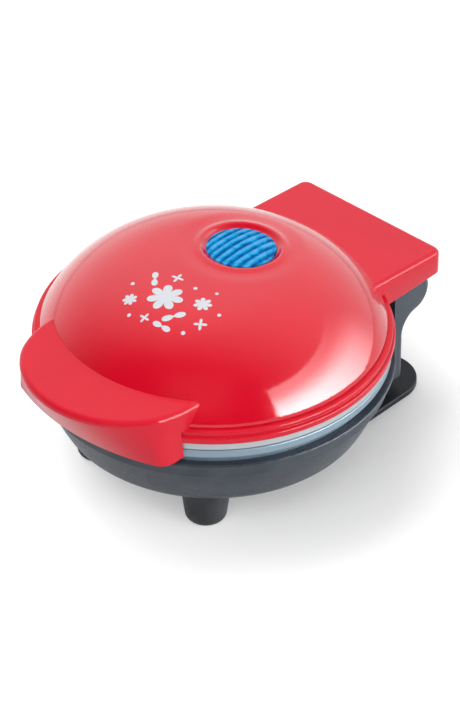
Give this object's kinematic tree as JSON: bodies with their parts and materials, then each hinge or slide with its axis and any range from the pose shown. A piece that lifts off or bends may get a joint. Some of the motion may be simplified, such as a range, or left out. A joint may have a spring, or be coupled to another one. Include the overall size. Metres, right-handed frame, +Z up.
{
  "type": "mini waffle maker",
  "caption": "Round tabletop waffle maker with a hinged domed lid, front lifting handle, grid cooking plates and a cord wrap foot behind its base.",
  "frame": {"origin": "on the standing surface, under the middle of the object's length and width", "axes": "+Z up; +Y from the handle towards the hinge; +X to the right of someone facing the handle"},
  "size_m": [0.128, 0.1636, 0.0796],
  "materials": {
    "base_grey": "moulded charcoal grey plastic, satin",
    "foot_grey": "dark grey moulded plastic, matte",
    "pad_rubber": "black rubber",
    "gland_rubber": "black rubber",
    "lid_red": "red moulded plastic, satin gloss",
    "dome_red": "red lacquered cover, high gloss",
    "upper_band": "brushed light metal band",
    "lower_band": "brushed blue-grey metal band",
    "plate_coating": "cast plate with a dark non-stick coating",
    "heater_sheath": "sheathed heating tube, dull steel",
    "shield_metal": "pressed sheet",
    "steel": "plated steel",
    "fuse_metal": "metal can with axial leads",
    "terminal_cream": "cream moulded plastic",
    "lead_sleeve": "woven heat-proof sleeve, off-white",
    "lens_blue": "translucent blue ribbed lens",
    "holder_white": "white heat-proof plastic",
    "lamp_glass": "clear glass lamp"
  },
  "bodies": {
    "base": {"base_housing": "base_grey", "cord_wrap_plate": "base_grey", "cord_wrap_screws": "steel", "front_foot_left": "foot_grey", "front_foot_right": "foot_grey", "foot_screws": "steel", "rear_foot_left": "pad_rubber", "rear_foot_right": "pad_rubber", "hinge_pin": "steel", "cord_gland": "gland_rubber", "terminal_block": "terminal_cream", "terminal_screws": "steel", "heater_leads": "lead_sleeve", "base_screws": "steel", "lower_heat_shield": "shield_metal", "lower_heater": "heater_sheath", "thermostat": "steel", "thermal_fuse": "fuse_metal", "lower_cooking_plate": "plate_coating", "lower_trim_ring": "lower_band"},
    "lid": {"lid_frame": "lid_red", "lid_dome": "dome_red", "handle": "lid_red", "handle_screws": "steel", "upper_trim_ring": "upper_band", "upper_cooking_plate": "plate_coating", "upper_heater": "heater_sheath", "upper_heat_shield": "shield_metal", "upper_plate_screws": "steel", "indicator_lens": "lens_blue", "lens_retainer": "holder_white", "lamp_holder": "holder_white", "indicator_lamp": "lamp_glass"}
  },
  "joints": [
    {"name": "lid_hinge", "type": "hinge", "parent": "base", "child": "lid", "pos_m": [0, 0.0703, 0.042], "axis": [-1, 0, 0], "range_deg": [0, 100]}
  ]
}
